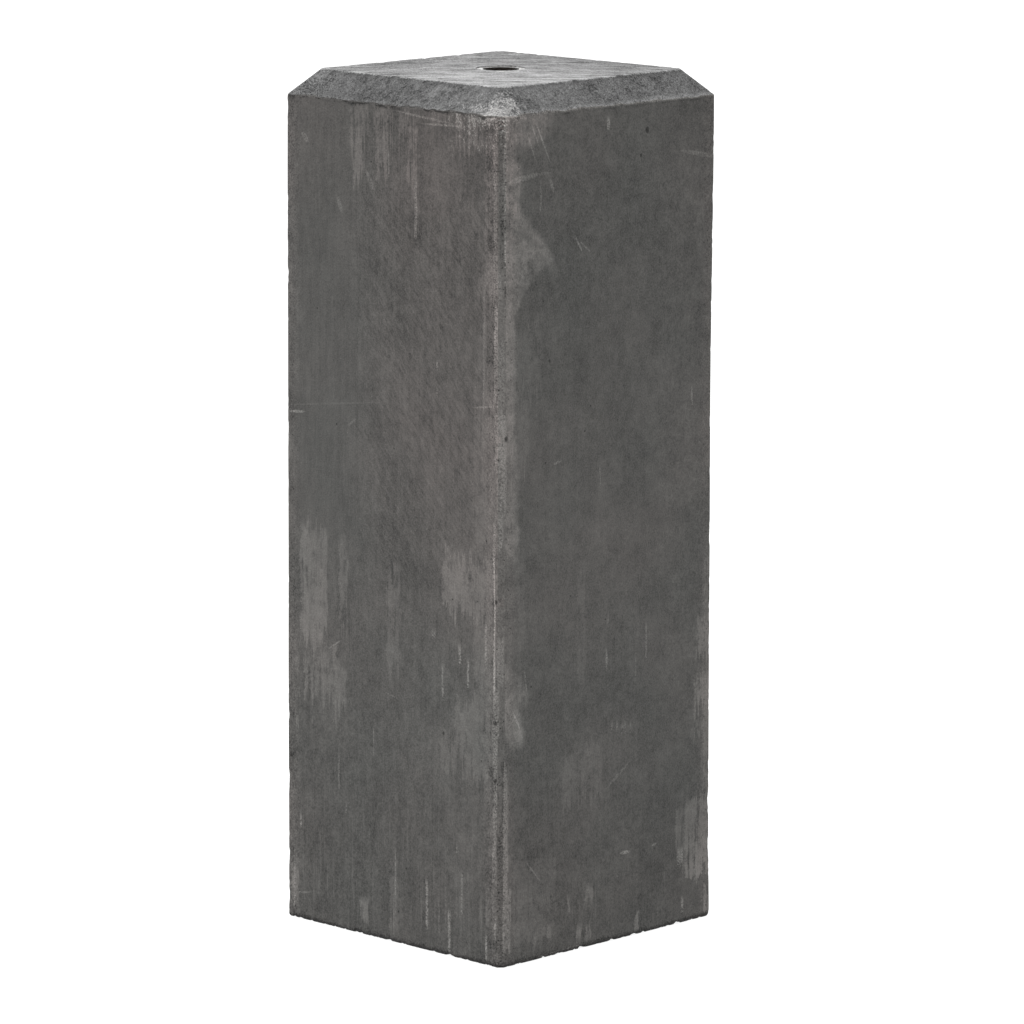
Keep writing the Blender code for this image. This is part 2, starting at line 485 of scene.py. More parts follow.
class Signal:
    """A number, colour or vector that varies over a surface, with the arithmetic that finishes are written in."""

    def __init__(self, finish, socket):
        self.finish = finish
        self.socket = socket

    def sum(self, operation, *terms):
        return self.finish.node("ShaderNodeMath", {"operation": operation}, terms)

    def __add__(self, other):
        return self.sum("ADD", self, other)

    def __sub__(self, other):
        return self.sum("SUBTRACT", self, other)

    def __rsub__(self, other):
        return self.sum("SUBTRACT", other, self)

    def __mul__(self, other):
        return self.sum("MULTIPLY", self, other)

    __radd__ = __add__
    __rmul__ = __mul__

    def size(self):
        return self.sum("ABSOLUTE", self)

    def sign(self):
        return self.sum("SIGN", self)

    def most(self, other):
        return self.sum("MAXIMUM", self, other)

    def least(self, other):
        return self.sum("MINIMUM", self, other)

    def ranged(self, low, high, start, end):
        """A smooth step from start at low to end at high."""
        values = [self, low, high, start, end]
        return self.finish.node("ShaderNodeMapRange", {"interpolation_type": "SMOOTHSTEP"}, values)

    def rise(self, low, high, end=1.0):
        return self.ranged(low, high, 0.0, end)

    def fall(self, low, high, start=1.0):
        return self.ranged(low, high, start, 0.0)

    def within(self, low, high, soft):
        """1 between low and high, and 0 beyond a soft border."""
        half = (high - low) / 2
        return (self - (low + high) / 2).size().fall(half - soft / 2, half + soft / 2)


class Finish:
    """A material being made: its nodes, its place on the piece in millimetres, and the noises that it draws on."""

    def __init__(self, name):
        self.material = bpy.data.materials.new(name)
        self.material.use_nodes = True
        self.tree = self.material.node_tree
        self.shader = self.tree.nodes["Principled BSDF"]
        metres = self.node("ShaderNodeTexCoord", {}, {}, "Object")
        self.place = self.node("ShaderNodeVectorMath", {"operation": "SCALE"}, {0: metres, "Scale": 1000.0})
        self.x, self.y, self.z = self.split(self.place)

    def node(self, kind, settings, values, output=0):
        """Adds a node: its settings first, then the values or links of its sockets."""
        made = self.tree.nodes.new(kind)
        for name, value in settings.items():
            if name == "stops":
                self.set_stops(made.color_ramp, value)
            else:
                setattr(made, name, value)
        for key, value in values.items() if isinstance(values, dict) else enumerate(values):
            if isinstance(value, Signal):
                self.tree.links.new(value.socket, made.inputs[key])
            else:
                made.inputs[key].default_value = value
        return Signal(self, made.outputs[output])

    def set_stops(self, ramp, stops):
        """Sets a ramp's steps, each a place from 0 to 1 and the three numbers that hold from there on."""
        ramp.interpolation = "CONSTANT"
        ramp.elements.remove(ramp.elements[1])
        for step, (position, numbers) in enumerate(stops):
            stop = ramp.elements[0] if step == 0 else ramp.elements.new(position)
            stop.position = position
            stop.color = (*numbers, 1.0)

    def split(self, joined, kind="ShaderNodeSeparateXYZ"):
        made = self.node(kind, {}, [joined]).socket.node
        return [Signal(self, socket) for socket in made.outputs]

    def placed(self, middle, lengths, turn=(0.0, 0.0, 0.0)):
        """Place counted from a middle, along turned axes, in the given lengths."""
        values = {
            "Vector": self.place, "Location": middle, "Rotation": [math.radians(a) for a in turn], "Scale": lengths,
        }
        return self.node("ShaderNodeMapping", {"vector_type": "TEXTURE"}, values)

    def mottle(self, scale, detail=2.0, roughness=0.5, place=None, warp=0.0):
        """Noise about zero, with most of it between -0.5 and 0.5. The scale is in features per millimetre."""
        values = {
            "Vector": place or self.place, "Scale": scale, "Detail": detail,
            "Roughness": roughness, "Distortion": warp,
        }
        return self.node("ShaderNodeTexNoise", {}, values) * 2 - 1

    def specks(self, scale, size, soft=0.4):
        """Scattered round spots of a size in millimetres."""
        gap = self.node("ShaderNodeTexVoronoi", {}, {"Vector": self.place, "Scale": scale})
        return gap.fall(scale * size * (1 - soft), scale * size * (1 + soft))

    def colour(self, tone, redness, yellowness):
        """A grey of that tone, with a little more red or less blue in it where redness or yellowness is above 0."""
        values = [tone * (1 + 0.05 * redness), tone, tone * (1 - 0.05 * yellowness)]
        return self.node("ShaderNodeCombineColor", {}, values)

    def mix(self, factor, first, second):
        return self.node("ShaderNodeMix", {"data_type": "RGBA"}, {0: factor, 6: first, 7: second}, 2)

    def feed(self, name, signal):
        self.tree.links.new(signal.socket, self.shader.inputs[name])

    def bump(self, height, distance, strength=1.0):
        values = {"Height": height, "Distance": distance, "Strength": strength}
        self.feed("Normal", self.node("ShaderNodeBump", {}, values))

    def weigh(self, terms, offset):
        """A sum of signals, each times its weight, and an offset."""
        total = offset
        for signal, weight in terms:
            total = self.node("ShaderNodeMath", {"operation": "MULTIPLY_ADD"}, [signal, weight, total])
        return total

    def bands(self, place, crossing, table, low, high, soft):
        """The strongest of many bands, each from a start to an end place, and wide from one crossing to another.

        Bands that overlap go on separate ramps, which hold a band's middle, half its width and its strength.
        """
        layers = []
        for band in sorted(table):
            for layer in layers:
                if layer[-1][1] <= band[0] and len(layer) < 15:
                    layer.append(band)
                    break
            else:
                layers.append([band])
        total = None
        share = self.weigh([(place, 1 / (high - low))], -low / (high - low))
        crossing = self.weigh([(crossing, 0.001)], 0.2)
        for layer in layers:
            stops = [(0.0, (0.0, 0.0, 0.0))]
            for start, end, near, far, strength in layer:
                numbers = ((near + far) / 2000 + 0.2, (far - near) / 2000, strength)
                stops.append(((start - low) / (high - low), numbers))
                stops.append(((end - low) / (high - low), (0.0, 0.0, 0.0)))
            ramp = self.node("ShaderNodeValToRGB", {"stops": stops}, [share])
            middle, half, strength = self.split(ramp, "ShaderNodeSeparateColor")
            inside = half - (crossing - middle).size()
            mask = inside.rise(-soft / 1000, soft / 1000) * strength
            total = mask if total is None else total.most(mask)
        return total

    def strokes(self, along, height, table, soft=0.35):
        """Slim ellipses, each from one end to the other in millimetres, and of a width and strength."""
        total = None
        for start, bottom, end, top, width, strength in table:
            middle, level = (start + end) / 2, (bottom + top) / 2
            half = math.hypot(end - start, top - bottom) / 2
            across, up = (end - start) / half / 2, (top - bottom) / half / 2
            half += width
            lengthwise = self.weigh(
                [(along, across / half), (height, up / half)], -(middle * across + level * up) / half
            )
            sideways = self.weigh(
                [(along, -up / width), (height, across / width)], (middle * up - level * across) / width
            )
            distance = self.weigh([(sideways, sideways)], lengthwise * lengthwise)
            mask = distance.fall(1 - soft, 1 + 2 * soft, strength)
            total = mask if total is None else total.most(mask)
        return total


# Marks on the concrete, all in millimetres. Girth is counted round the block from the middle of the front face: that
# face ends at 90 and the right one at 270, the back at 450 and the left at 630. Films are pale, brushed and soft,
# lines are thin and sharp. A tall mark has its left and right girth, its bottom and top, and its strength.
FRONT_FILMS = [
    (-83.5, -77.0, 9, 30, 0.5),     (-80.0, -72.0, 118, 127, 0.5), (-74.5, -51.7, 172, 235, 0.75), (-72.0, -68.0, 168, 235, 0.95),
    (-71.5, -36.1, 135, 161, 0.7), (-64.4, -56.0, 162, 216, 0.9), (-47.0, -44.4, 126, 171, 0.75),
    (-41.6, -35.0, 181, 234, 0.5), (-40.3, -36.9, 130, 153, 0.55), (-32.1, -17.4, 458, 485, 0.6),
    (-28.9, -20.5, 446, 472, 0.7), (-24.9, -17.4, 8, 22, 0.75), (-12.6, 3.6, 464, 486, 0.6),
    (-10.6, -0.3, 446, 474, 0.65), (-0.2, 6.0, 7, 48, 0.35), (-2.7, 8.8, 162, 224, 0.45),
    (8.3, 20.5, 464, 485, 0.5), (15.0, 23.1, 446, 480, 0.7),
]
RIGHT_FILMS = [
    (115.6, 118.8, 8, 18, 0.5), (126.2, 130.3, 9, 21, 0.6), (144.2, 145.8, 24, 33, 0.65),
    (151.5, 158.1, 152, 221, 0.25), (151.7, 155.8, 7, 14, 0.85), (159.0, 164.8, 26, 35, 0.6),
    (159.5, 162.9, 4, 15, 0.6), (201.0, 203.9, 2, 14, 0.9), (234.9, 239.6, 48, 72, 0.5),
    (242.0, 246.3, 64, 78, 0.65), (251.1, 254.5, 21, 36, 0.65), (254.2, 257.7, 35, 72, 0.65),
]
FAR_FILMS = [
    (276, 300, 300, 372, 0.6), (320, 334, 430, 484, 0.45), (352, 372, 60, 118, 0.5), (388, 396, 452, 480, 0.5),
    (412, 442, 212, 262, 0.6), (453, 464, 80, 250, 0.55), (470, 496, 200, 244, 0.6), (505, 517, 455, 486, 0.45),
    (540, 560, 120, 170, 0.45), (566, 574, 5, 30, 0.7), (585, 600, 330, 390, 0.55), (604, 624, 40, 110, 0.5),
]
LINES = [
    (-81.3, -80.0, 7, 35, 0.6), (-75.9, -74.6, 58, 64, 0.8), (-43.0, -41.8, 84, 104, 0.4),
    (-36.8, -36.0, 72, 76, 0.6), (-14.1, -13.3, 108, 126, 0.4), (-0.7, 0.4, 444, 460, 0.7), (3.5, 4.7, 29, 55, 0.7),
    (20.4, 22.4, 413, 446, 0.6), (29.2, 31.0, 15, 42, 0.9), (34.0, 37.3, 186, 190, 0.5), (38.2, 39.2, 326, 329, 0.9),
    (39.3, 40.3, 14, 32, 0.5), (38.2, 39.3, 341, 344, 0.9), (42.5, 43.7, 151, 172, 0.5), (47.7, 49.4, 3, 27, 0.9),
    (53.4, 55.6, 63, 67, 0.6), (55.8, 57.8, 174, 183, 0.8), (57.9, 59.1, 29, 52, 0.5), (63.0, 64.2, 160, 175, 0.9),
    (77.0, 78.6, 177, 200, 0.6), (77.3, 78.9, 4, 18, 1.0),
]
RIGHT_LINES = [
    (120.2, 121.2, 431, 448, 0.4), (168.9, 169.9, 268, 281, 0.7), (173.8, 175.9, 473, 479, 1.0),
    (175.0, 176.1, 164, 173, 0.8), (176.2, 177.2, 186, 195, 0.4), (180.0, 181.0, 126, 130, 0.5),
    (184.1, 185.1, 125, 130, 0.6), (188.3, 191.6, 125, 128, 0.6), (195.0, 196.0, 123, 128, 0.5),
    (199.3, 200.3, 152, 169, 0.3), (208.0, 209.0, 164, 184, 0.5), (236.2, 240.6, 37, 46, 0.8),
    (239.4, 241.4, 9, 16, 0.9), (245.4, 246.4, 309, 318, 0.6),
]
FAR_LINES = [
    (292, 293.4, 90, 130, 0.5), (318, 319.4, 20, 46, 0.8), (345, 346.6, 300, 322, 0.5), (379, 380.8, 8, 40, 0.8),
    (401, 402.6, 160, 190, 0.5), (438, 439.6, 300, 440, 0.6), (456, 457.6, 300, 400, 0.7), (483, 484.6, 30, 60, 0.7),
    (512, 513.6, 250, 262, 0.7), (533, 534.6, 5, 33, 0.9), (571, 572.6, 120, 140, 0.5), (599, 600.6, 60, 95, 0.6),
]

# A wide mark has its bottom and top, its left and right girth, and its strength.
WIDE_FILMS = [
    (481, 489, 33.5, 57.3, 0.35), (108, 129, 41.3, 81.5, 0.4), (203, 233, 42.9, 86.1, 0.8),
    (114, 153, 53.4, 83.1, 0.55), (466, 487, 53.4, 88.7, 0.5), (257, 303, 66.9, 82.8, 0.35),
    (154, 203, 68.6, 86.1, 0.5), (382, 458, 77.1, 84.1, 0.4), (240, 345, 69, 84.5, 0.35), (265, 400, 73, 77.5, 0.4),
    (40, 112, 93.0, 96.8, 0.5), (184, 246, 93.5, 110.0, 0.22), (154, 160, 105.4, 109.8, 0.95),
    (24, 76, 242.5, 264.2, 0.85), (113, 118, 246.7, 264, 0.5), (127, 143, 249.9, 264, 0.9), (78, 127, 257, 264, 0.6),
    (158, 179, 252.1, 264, 0.9), (3, 18, 258.2, 264, 0.8), (87, 116, 140, 173, 0.35), (143, 215, 257, 264, 0.45),
    (10, 60, 100, 135, 0.25), (330, 366, 96, 122, 0.3), (285, 322, 97, 112, 0.35),
    (20, 130, 432, 446, 0.5), (396, 462, 594, 622, 0.4), (190, 240, 334, 352, 0.35),
]

# The front corner: light and dark bands along it, written as the wide marks are
CORNER_LIGHT = [
    (118, 161, 83.8, 86.6, 0.45), (399, 408, 84.1, 87.4, 0.5), (15, 27, 84.9, 86.5, 0.8), (287, 320, 84.9, 93.6, 0.5),
    (464, 480, 85.0, 86.2, 0.6), (357, 377, 84.9, 87.0, 1.0), (161, 240, 84.4, 85.8, 1.5), (326, 357, 84.4, 87.0, 0.6),
    (377, 399, 84.6, 90.0, 0.3), (264, 287, 89.5, 94.3, 0.45), (399, 484, 92.7, 93.6, 0.5), (46, 118, 92.2, 95.8, 0.45),
    (8, 46, 92.2, 98.5, 0.45), (320, 389, 76.0, 77.2, 0.35), (161, 190, 87.2, 92.4, 0.3), (264, 330, 86.8, 90.0, 0.2),
    (404, 484, 84.6, 86.4, 0.4), (424, 470, 91.8, 93.6, 0.35), (326, 357, 87.0, 93.0, 0.25), (239, 259, 84.2, 86.2, 0.5),
    (239, 259, 88.0, 91.0, 0.4), (80, 132, 84.4, 87.2, 0.45), (51, 80, 84.6, 86.4, 0.5), (132, 161, 86.6, 88.6, 0.4),
]
CORNER_DARK = [
    (399, 424, 88.6, 92.0, 1.0), (467, 485, 87.2, 92.2, 0.9), (424, 467, 87.6, 91.4, 0.7), (12, 81, 87.2, 91.6, 1.0),
    (190, 238, 87.3, 92.8, 0.35), (264, 287, 88.3, 89.9, 0.5), (81, 123, 90.3, 92.7, 0.8), (135, 161, 89.4, 91.6, 0.4),
]

# Leaning scratches and smears: one end across and up the face, the other end, half the width, and the strength
FRONT_SCRATCHES = [
    (-83.6, 301.2, -72.6, 302.2, 0.7, 0.9), (-83.5, 305.0, -8.6, 314.7, 0.5, 0.18),
    (-34.2, 298.7, -29.2, 302.8, 0.6, 0.4), (68.0, 320.5, 84.6, 322.7, 0.6, 0.5), (8.1, 482.0, 49.7, 478.5, 0.6, 0.5),
    (28.2, 476.8, 57.6, 477.7, 0.6, 0.6), (-50.7, 166.0, -42.3, 171.3, 0.5, 0.5), (-18.6, 444.7, -14.1, 437.0, 1.3, 0.35),
    (-42.7, 428.0, -40.4, 422.6, 1.5, 0.35), (-71.3, 462.7, -69.2, 460.5, 1.7, 0.4), (-3.3, 146.4, 4.1, 145.0, 0.5, 0.4),
    (-78.7, 15.8, -68.5, 17.6, 0.6, 0.5),
]
FRONT_SWEEPS = [
    (-12.6, 350.2, 7.8, 334.0, 1.2, 0.3), (24.0, 312.9, 44.1, 293.5, 1.2, 0.3), (28.8, 312.3, 54.5, 287.9, 1.2, 0.3),
]
RIGHT_SCRATCHES = [
    (-64.8, 479.7, -58.4, 466.4, 0.4, 0.5), (-60.0, 477.7, -50.4, 458.5, 0.5, 0.7), (-69.5, 477.9, -61.5, 459.4, 0.4, 0.4),
    (-80.5, 448.7, -61.5, 451.0, 1.5, 0.5), (-61.5, 451.0, -50.3, 451.2, 0.8, 0.3), (-29.2, 413.2, -24.3, 405.4, 0.6, 0.7),
    (-24.4, 409.4, -17.8, 404.2, 0.5, 0.5), (-45.6, 285.8, -41.1, 286.9, 0.6, 0.7), (14.8, 103.0, -1.0, 92.5, 0.9, 0.35),
    (-67.3, 57.7, -58.4, 47.4, 0.5, 0.5), (10.2, 51.0, 15.6, 51.0, 0.9, 1.0), (60.2, 454.6, 83.8, 449.8, 1.2, 0.35),
    (-72.8, 1.4, -22.0, 2.7, 0.5, 0.4), (36.3, 51.4, 39.7, 51.7, 0.6, 0.6), (-49.5, 446.6, -47.1, 441.3, 1.0, 0.45),
    (-69.7, 168.9, -68.1, 158.9, 0.5, 0.7), (-78.9, 147.2, -74.1, 138.4, 0.6, 0.7),
]

# Broad pale wipes, and the dark patches between the drips at the foot, written as the scratches are
RIGHT_WIPES = [
    (-86, 476, -62, 478, 9, 1.15), (-84, 465, -77, 444, 6, 1.05), (-85, 440, -78, 428, 7, 1.4),
    (-84, 436, -54, 405, 5.5, 0.9), (-86, 414, -68, 404, 9, 1.35), (-85, 399, -74, 396, 8, 1.4),
    (-84, 388, -81.5, 330, 4.8, 1.15), (-83, 376, -76, 386, 5, 0.8), (-83, 326, -79.5, 262, 5.5, 0.85),
    (-82, 262, -79, 241, 6, 0.95), (-85, 166, -75, 157, 7, 0.8), (-85, 150, -77, 136, 7, 1.1),
]
RIGHT_SHADES = [
    (-60, 70, -48, 22, 12, 0.5), (-40, 40, -22, 12, 9, 0.35), (20, 30, 62, 40, 14, 0.3),
    (58, 480, 82, 474, 6, 0.35), 
    (-30, 330, -10, 300, 16, 0.2), (20, 250, 44, 200, 18, 0.2),
]
SHOULDER = SHOULDER_Z / MILLIMETRE
TOP = HEIGHT / MILLIMETRE
HALF = HALF_SHOULDER / MILLIMETRE


class Concrete(Finish):
    """The dark concrete: the noises, holes, lime and seams that all its sides share, with their places on the block."""

    def __init__(self, name, stretch=1.0):
        super().__init__(name)
        self.shader.inputs["Specular IOR Level"].default_value = 0.2
        self.clouds = self.mottle(0.011, 2)
        self.patches = self.mottle(0.09, 3, 0.6)
        self.grain = self.mottle(0.05, 5, 1.0, place=self.placed((0, 0, 0), (1, 1, stretch)))
        self.tooth = self.mottle(1.05, 2, 0.8)
        self.off_shoulder = self.z - SHOULDER + self.patches * 3
        self.to_right = (self.x - self.y.size()).rise(-4, 4)

    def reach(self, middle, lengths):
        """How far a point lies from a middle, in the given lengths."""
        return self.node("ShaderNodeVectorMath", {"operation": "LENGTH"}, [self.placed(middle, lengths)], "Value")

    def seams(self):
        """How dark the line under the chamfer is, and how pale: cracked on the front face, crumbled on the right."""
        crack = self.off_shoulder.within(-1.1, 0.1, 0.5) * (self.patches * 3 + self.grain * 6 + 0.8).rise(0.3, 0.6)
        dots = (self.off_shoulder + 1.0).within(-0.8, 0.8, 0.8) * (self.tooth * 3 + self.patches * 2).rise(0.3, 0.6)
        dark = (crack * (1 - self.to_right)).most(dots)
        pale = (self.off_shoulder + self.tooth * 3).within(-0.8, 1.6, 0.9) * (self.to_right * 0.7 + 0.3)
        return dark, pale * (1 + 2.5 * self.tooth)

    def lime(self):
        """White lime crusted round the head's front corner, and flecks of it on the faces below."""
        crust = self.mottle(0.45, 4, 0.8) * 1.7 + self.grain * 3
        core = 0.95 - self.reach((84, -84, 489), (15, 15, 11))
        smear = 0.35 - self.reach((68, -84, 488), (22, 9, 6))
        flecks = 0.55 - self.reach((72, -88, 487), (32, 13, 30))
        thick = (core.most(smear) + crust).rise(-0.1, 0.7)
        thin = (flecks + self.tooth * 1.4 + self.grain * 2).rise(0.05, 0.4)
        return thick * (0.72 + 1.4 * self.tooth), thin

    def paint(self, tone, dark, redness, yellowness, roughness, holes):
        """Sends the finished tone, darkened by its marks and by painted shade, to the shader."""
        tone = (tone * (1 - dark)).most(0.005)
        self.feed("Base Color", self.colour(tone, redness, yellowness))
        self.feed("Roughness", roughness.least(1.0))
        self.bump(self.grain * 3 + self.tooth - holes, 0.0003, 0.7)
        return self.material


def side_finish(name, ends_of_girth, character, films, lines, wide, scratches=None, wipes=None, shades=None):
    """An upright side: clouds and streaks, brushed films, fine scratches, worn corners and pinholes, plus painted
    bounce light and painted shade.
    """
    lightness, streakiness, roughcast, stretch = character
    skin = Concrete(name, stretch)
    low, high = ends_of_girth
    x, y, z = skin.x, skin.y, skin.z
    tooth, grain, patches = skin.tooth, skin.grain, skin.patches
    girth = (x - y).sign() * (x + y - 180) + 270
    hairs = skin.mottle(0.42, 3, 0.7, place=skin.placed((0, 0, 0), (1, 1, 18)))

    ends = z + (hairs * 30 + patches * 10) * z.ranged(20, 110, 0.2, 1.0)
    edges = girth + patches * 4 + tooth * 1.5
    film = skin.bands(edges, ends, films, low, high, 4)
    film = film.most(skin.bands(ends, edges, wide, 0, 500, 1.5)) * (1 + 0.5 * z.fall(30, 60))
    along = y if name == "right_side" else x
    upper = z.rise(380, 440)
    film = film * (0.9 - 0.3 * upper + (1.3 + 1.6 * upper + 1.6 * girth.within(236, 268, 6)) * hairs + 0.7 * patches + 2 * grain).rise(0.0, 0.9)
    if wipes:
        wiped = skin.strokes(along + patches * 4, z + patches * 4, wipes, 0.6)
        film = film.most(wiped * (0.95 + 1.6 * grain + 0.5 * hairs) * girth.rise(93.0, 93.8))

    line = skin.bands(girth + patches, z + tooth * 8, lines, low, high, 1.4)
    if scratches:
        line = line.most(skin.strokes(along, z, scratches))
    line = line * (0.8 + 2.2 * tooth)

    by_corner = girth + hairs * 2.5 + tooth
    pale_corner = skin.bands(z + hairs * 14, by_corner, CORNER_LIGHT, 0, 500, 0.4) * (0.8 + 2.2 * tooth)
    dark_corner = skin.bands(z + hairs * 14, by_corner, CORNER_DARK, 0, 500, 0.6) * (1 - 2 * tooth)
    off_corner = (x.size() - y.size()).size()
    flat = off_corner.fall(3.0, 3.6)
    beside_corner = off_corner.fall(6, 16)
    border = (girth - 93.0).size().fall(0.3, 0.9)
    beads = skin.mottle(0.8, 1, place=skin.placed((0, 0, 0), (50, 50, 1)))

    crack, pale_seam = skin.seams()
    thick_lime, thin_lime = skin.lime()
    # Pinholes, painted dark as painted shade inside them, and pressed in as dents by the bump
    pinholes = skin.specks(0.05, 0.55).most(skin.specks(0.3, 0.38) * beside_corner)
    dust = skin.specks(0.14, 0.36) * patches.rise(0.0, 0.25)

    light = lightness + 0.26 * skin.clouds + 1.25 * grain + 0.85 * tooth + streakiness * hairs
    # Painted bounce light from the floor: the side is painted brighter below about 300 to 420 mm
    light = light + 0.09 * z.fall(300, 420)
    light = light + beside_corner * (0.10 + roughcast * (tooth + grain)) - 0.32 * dark_corner
    light = light + flat * (0.10 + 0.14 * z.rise(100, 160) + 0.15 * z.within(235, 400, 30))
    drips = skin.mottle(0.55, 2, 0.5, place=skin.placed((0, 0, 0), (1, 1, 30)))
    # Drip streaks near the foot, and less of the painted bounce light right at the foot
    light = light + 1.3 * streakiness * drips.rise(0.12, 0.4) * z.fall(25, 130) - 0.08 * z.fall(40, 140)
    redness = 0.45 + 1.2 * skin.clouds + film * (0.3 + 0.5 * upper) + 0.5 * beside_corner - thin_lime
    if name == "front_side":
        sweeps = skin.mottle(0.62, 3, 0.7, place=skin.placed((0, 0, 0), (5, 1.2, 1), (0, 48, 0)), warp=0.3)
        brown = (x + patches * 20).rise(-42, -5) * z.rise(140, 260)
        calm = x.fall(-45, -10) * z.rise(190, 250)
        light = light + 0.62 * sweeps * brown * z.fall(425, 455) + 0.07 * x.rise(20, 60)
        light = light - calm * (0.40 * grain + 0.25 * tooth)
        light = light - 0.12 * x.rise(60, 78) * z.fall(20, 70)
        redness = redness + 0.9 * brown * x.rise(-60, 40) + 0.3 * upper
    if shades:
        light = light - 0.42 * skin.strokes(along, z, shades, 0.8) * (0.7 + 1.5 * patches)
    tone = SIDE_TONE * light + 0.042 * film + 0.08 * line + 0.085 * pale_corner + 0.04 * dust
    beaded = border * z.rise(372, 388)
    tone = tone + 0.09 * beaded * beads.rise(0.08, 0.3) + 0.06 * pale_seam
    tone = tone + 0.07 * thin_lime + 0.12 * thick_lime
    dark = (pinholes * 0.75).most(crack * 0.8).most(beaded * beads.fall(-0.30, -0.12) * 0.5)
    # Painted shade along the foot: a dark band at the lower edge, where the underside's rounded edge falls into shade
    dark = dark.most((z + tooth * 3 + patches * 2).fall(1.2, 4.2) * 0.7)
    # Painted shade in the named blowholes: each is darkened by a small ellipse over its hollow
    shaded_blowholes = [(a, h - 0.3 * r, a, h + 0.3 * r, r, 0.55) for face, a, h, r, _ in BLOWHOLES if name.startswith(face)]
    if shaded_blowholes:
        dark = dark.most(skin.strokes(along, z, shaded_blowholes))
    return skin.paint(tone, dark, redness, 1.0, 0.82 + 0.6 * grain, pinholes)


SIDE_TONE = 0.0543
CHAMFER_TONE = 0.078
HEAD_TONE = 0.180


def front_finish():
    wide = [mark for mark in WIDE_FILMS if mark[2] < 90]
    return side_finish(
        "front_side", (-88, 92), (0.985, 0.30, 0.8, 1.5), FRONT_FILMS, LINES, wide, FRONT_SCRATCHES, None, FRONT_SWEEPS
    )


def right_finish():
    wide = [mark for mark in WIDE_FILMS if 90 < mark[2] < 270]
    return side_finish(
        "right_side", (88, 268), (1.03, 0.14, 0.25, 1.0), RIGHT_FILMS, RIGHT_LINES, wide, RIGHT_SCRATCHES,
        RIGHT_WIPES, RIGHT_SHADES
    )


def far_finish():
    wide = [mark for mark in WIDE_FILMS if mark[2] > 270]
    return side_finish("far_sides", (272, 628), (1.0, 0.22, 0.5, 1.2), FAR_FILMS, FAR_LINES, wide)


def head_finish():
    """The head and its chamfer: a brushed rough slope, and a paler trowelled top with streaks across it and a painted
    sheen, brighter towards its near side.
    """
    skin = Concrete("head_and_chamfer")
    x, y, z = skin.x, skin.y, skin.z
    tooth, grain, patches = skin.tooth, skin.grain, skin.patches
    brushed = skin.mottle(0.42, 3, 0.8, place=skin.placed((0, 0, 0), (9, 1.2, 1), (0, -50, 0)))
    trowelled = skin.mottle(0.13, 4, 0.9, place=skin.placed((0, 0, 0), (5, 1, 1), (0, 0, 45)))

    head = (z + tooth * 0.6).rise(TOP - 1.0, TOP - 0.2)
    slope = (z + patches * 2).rise(SHOULDER - 0.4, SHOULDER + 0.4) * (1 - head)
    side = 1 - head - slope
    crack, pale_seam = skin.seams()
    thick_lime, _ = skin.lime()
    rim = (z + tooth * 2 + grain * 4).within(TOP - 1.6, TOP - 0.4, 0.6) * (patches * 3 + tooth).rise(0.1, 0.4)
    # Pinholes on the head and chamfer, painted dark as painted shade inside them
    pinholes = skin.specks(0.12, 0.5)

    # Painted sheen on the head: brighter towards the near side, darker towards the left and right corners, the right
    # and the near corner
    nearness = (x - y).rise(-110, 130)
    tone = SIDE_TONE * (1 + 2 * grain + 0.5 * tooth) * side
    on_front = (0 - y - x.size()).rise(-2, 2)
    dusting = 0.92 + 0.08 * y.rise(-80, 0) + 0.17 * y.rise(0, 80) + on_front * (0.22 * x.rise(-80, 80) - 0.12)
    streaks = brushed * (0.35 + 1.1 * on_front * x.within(-25, 60, 40)) + 0.8 * skin.clouds
    scratched = 2.4 - 0.8 * on_front + 1.6 * on_front * (x + patches * 20).fall(-75, -45)
    tone = tone + CHAMFER_TONE * (dusting + 1.8 * grain + scratched * tooth + streaks + 0.5 * patches) * slope
    sidelong = (x + y).size().rise(20, 130)
    # The painted sheen from the near side and the corners, together with the real trowelled streaks and grain
    sheen_and_trowelling = 0.84 + 0.68 * nearness - 0.26 * sidelong - 0.10 * (x + y).rise(-120, 120) - 0.22 * (x - y).rise(95, 150) + 1.5 * grain + 2.6 * trowelled + 2.0 * tooth
    tone = tone + HEAD_TONE * sheen_and_trowelling * head
    tone = tone + 0.05 * pale_seam * (1 - head) + 0.17 * thick_lime * (1 - head)
    dark = (pinholes * 0.7).most(crack * 0.6 * (1 - head)).most(rim * 0.45)
    return skin.paint(tone, dark, side + 0.3 * thick_lime, side + 0.4 * thick_lime, 0.82 + 0.6 * grain - 0.15 * head,
                      pinholes)


def steel_finish():
    """A near-black thread, oiled steel with painted shade down the hole, under a bare zinc rim that is filmed with
    cement, most of all on its far side.
    """
    finish = Finish("zinc_plate")
    from_rim = SLEEVE_TOP / MILLIMETRE - finish.z
    stain = finish.mottle(0.26, 4, 0.6)
    grain = finish.mottle(1.5, 2)
    bore = (from_rim + 0.06 * stain).rise(0.01, 0.14)
    cement = (stain * 2 + (finish.y - finish.x) * 0.035 - 0.05).rise(0.0, 0.25) * (1 - bore)
    bare = finish.colour(0.62 + 0.15 * grain, 0.0 * stain, 0.4)
    dusty = finish.colour(0.15 + 0.10 * grain, 0.6 + 0.5 * stain, 0.6)
    # Painted shade in the bore: the thread is painted almost black, darker than oiled steel, so the hole reads as
    # shaded
    oily_and_shaded = finish.colour(0.006 + 0.03 * grain.rise(0.1, 0.4), 3.0 + stain, 3.0)
    finish.feed("Base Color", finish.mix(bore, finish.mix(cement, bare, dusty), oily_and_shaded))
    finish.feed("Metallic", 1 - cement)
    finish.feed("Roughness", 0.30 + 0.5 * cement + 0.3 * bore)
    finish.bump(grain + stain * 2, 0.0001, 0.6)
    return finish.material


# Stage


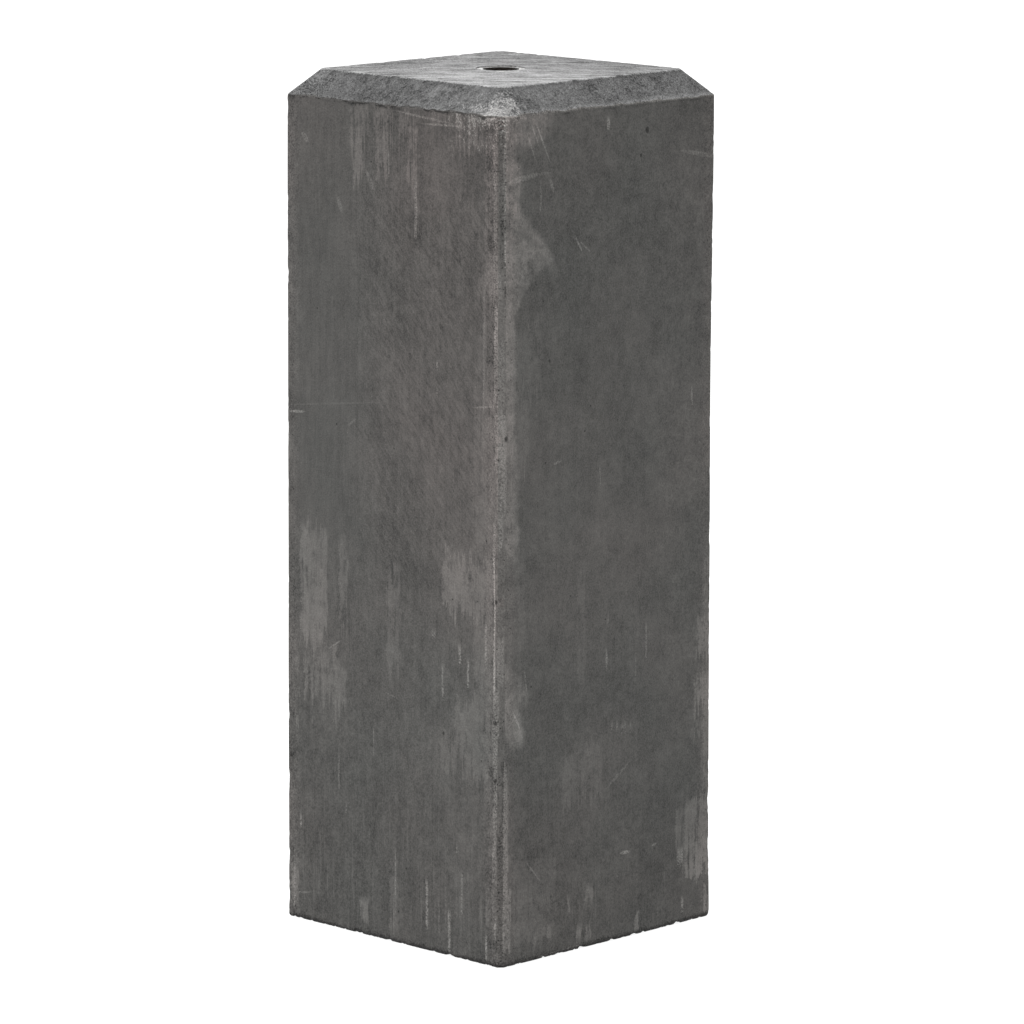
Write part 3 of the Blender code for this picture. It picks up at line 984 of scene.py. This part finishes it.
def add_floor():
    """A wide white floor, which is all that shows behind the block."""
    bm = bmesh.new()
    bmesh.ops.create_grid(bm, x_segments=1, y_segments=1, size=14)
    finish = Finish("studio_floor")
    finish.shader.inputs["Base Color"].default_value = (0.3, 0.3, 0.3, 1)
    finish.shader.inputs["Emission Color"].default_value = (1, 1, 1, 1)
    finish.shader.inputs["Emission Strength"].default_value = 0.85
    finish.shader.inputs["Roughness"].default_value = 0.9
    finish.shader.inputs["Specular IOR Level"].default_value = 0.0
    floor = add_piece("floor", bm, [finish.material], 30)


def add_soft_light(name, place, toward, size, power):
    """A square softbox."""
    data = bpy.data.lights.new(name, "AREA")
    data.shape = "SQUARE"
    data.size = size
    data.energy = power
    light = bpy.data.objects.new(name, data)
    light.location = place
    light.rotation_mode = "QUATERNION"
    light.rotation_quaternion = (Vector(toward) - Vector(place)).to_track_quat("-Z", "Y")
    bpy.context.scene.collection.objects.link(light)


def add_studio():
    world = bpy.data.worlds.new("studio")
    world.use_nodes = True
    background = world.node_tree.nodes["Background"]
    background.inputs["Color"].default_value = (1, 1, 1, 1)
    background.inputs["Strength"].default_value = 1.3
    bpy.context.scene.world = world
    add_soft_light("overhead", (-0.2, -1.15, 2.0), (0, 0, 0.25), 1.6, 28)
    bpy.context.scene.view_settings.view_transform = "Standard"


# The photograph's view of the block, worked out from its corners
VIEW_AZIMUTH = 44.771
VIEW_ELEVATION = 9.990
VIEW_DISTANCE = 3.3541
VIEW_ROLL = 0.108
AIM_ACROSS = 0.00687
AIM_UP = -0.00861
LENS = 202.84


def add_camera():
    azimuth, elevation, roll = (math.radians(a) for a in (VIEW_AZIMUTH, VIEW_ELEVATION, VIEW_ROLL))
    back = Vector((
        math.cos(elevation) * math.sin(azimuth), -math.cos(elevation) * math.cos(azimuth), math.sin(elevation)
    ))
    middle = Vector((0, 0, HEIGHT / 2))
    right = (-back).cross(Vector((0, 0, 1))).normalized()
    target = middle + right * AIM_ACROSS + right.cross(-back) * AIM_UP
    eye = middle + back * VIEW_DISTANCE
    forward = (target - eye).normalized()
    right = forward.cross(Vector((0, 0, 1))).normalized()
    up = right.cross(forward)
    right, up = right * math.cos(roll) + up * math.sin(roll), up * math.cos(roll) - right * math.sin(roll)
    data = bpy.data.cameras.new("camera")
    data.lens = LENS
    data.clip_end = 60
    camera = bpy.data.objects.new("camera", data)
    camera.matrix_world = Matrix.Translation(eye) @ Matrix((right, up, -forward)).transposed().to_4x4()
    bpy.context.scene.collection.objects.link(camera)
    bpy.context.scene.camera = camera


def main():
    add_camera()
    add_studio()
    add_floor()
    block = make_block([front_finish(), right_finish(), far_finish(), head_finish()])
    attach(block, "root")
    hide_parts("concrete_block")
    sleeve = make_sleeve(steel_finish())
    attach(sleeve, "root")
    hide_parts("threaded_sleeve")
    for piece in (block, sleeve):
        print(piece.name, "triangles", sum(len(p.vertices) - 2 for p in piece.data.polygons))


main()
